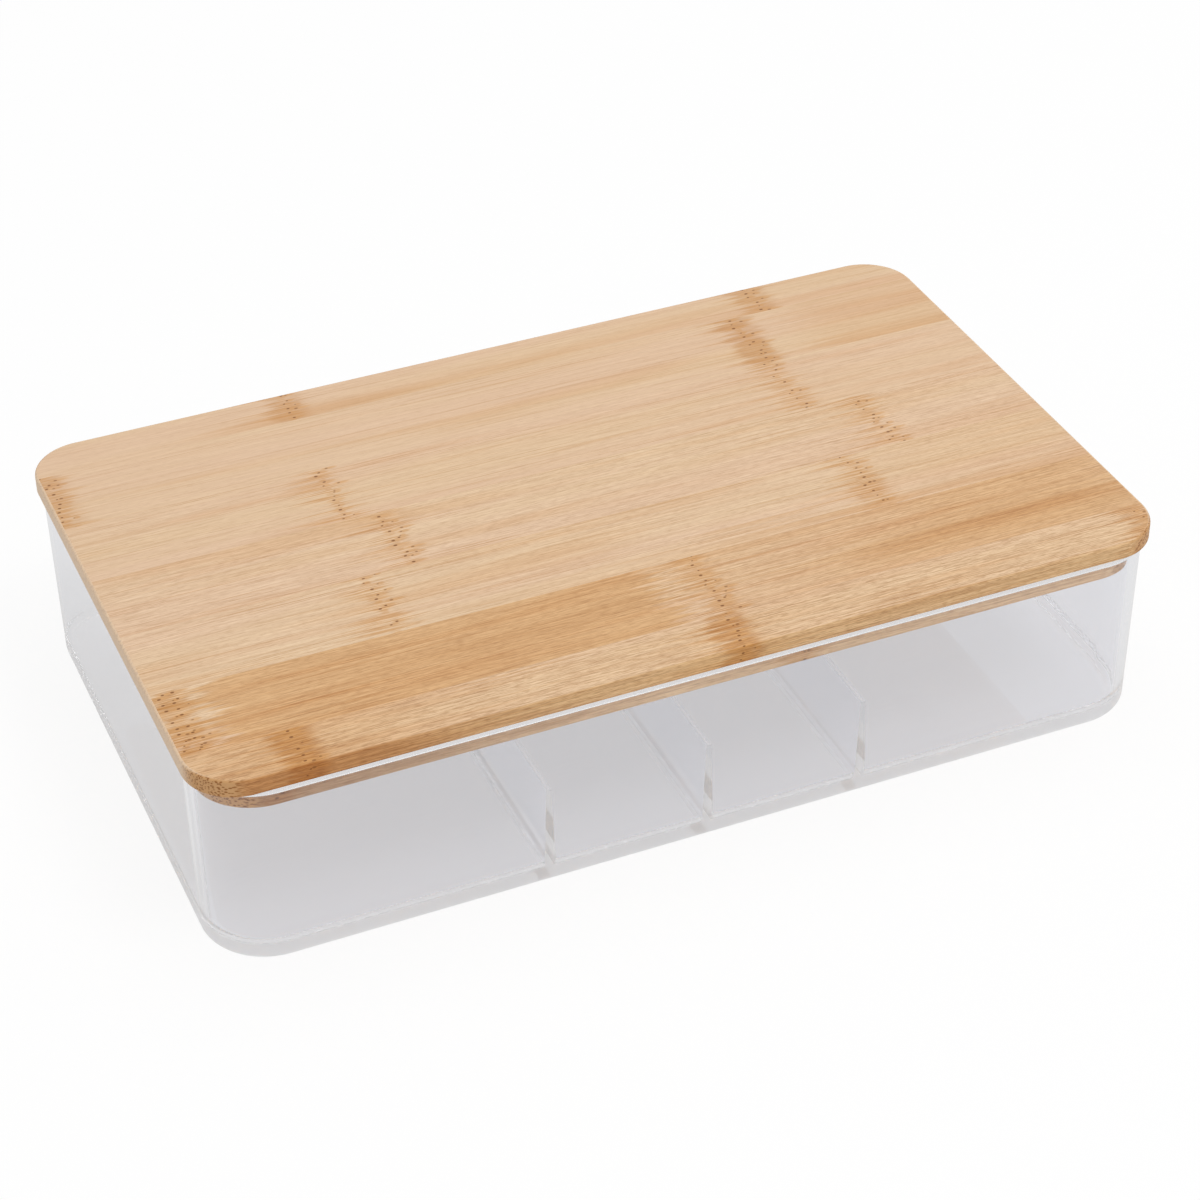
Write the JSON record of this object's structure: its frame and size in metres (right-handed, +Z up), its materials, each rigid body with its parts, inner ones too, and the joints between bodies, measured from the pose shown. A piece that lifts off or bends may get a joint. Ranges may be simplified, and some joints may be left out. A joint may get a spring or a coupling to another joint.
{
  "type": "sorting tray",
  "caption": "Clear moulded sorting tray with rounded corners and low fixed dividers, closed by a rebated bamboo lid that rests on the rim and lifts off.",
  "frame": {"origin": "middle of the tray's underside", "axes": "+X along the tray's length, +Y towards its back long side, +Z up"},
  "size_m": [0.26, 0.1582, 0.0568],
  "materials": {
    "clear_plastic": "clear, polished",
    "bamboo": "sanded bamboo, satin"
  },
  "bodies": {
    "tray": {"tray": "clear_plastic"},
    "lid": {"plate_strip_1": "bamboo", "plate_strip_2": "bamboo", "plate_strip_3": "bamboo", "plate_strip_4": "bamboo", "plate_strip_5": "bamboo", "plate_strip_6": "bamboo", "plate_strip_7": "bamboo", "plug_strip_1": "bamboo", "plug_strip_2": "bamboo", "plug_strip_3": "bamboo", "plug_strip_4": "bamboo", "plug_strip_5": "bamboo", "plug_strip_6": "bamboo"}
  },
  "joints": [
    {"name": "lid_lift", "type": "slide", "parent": "tray", "child": "lid", "axis": [0, 0, 1], "range_m": [0, 0.1]}
  ]
}
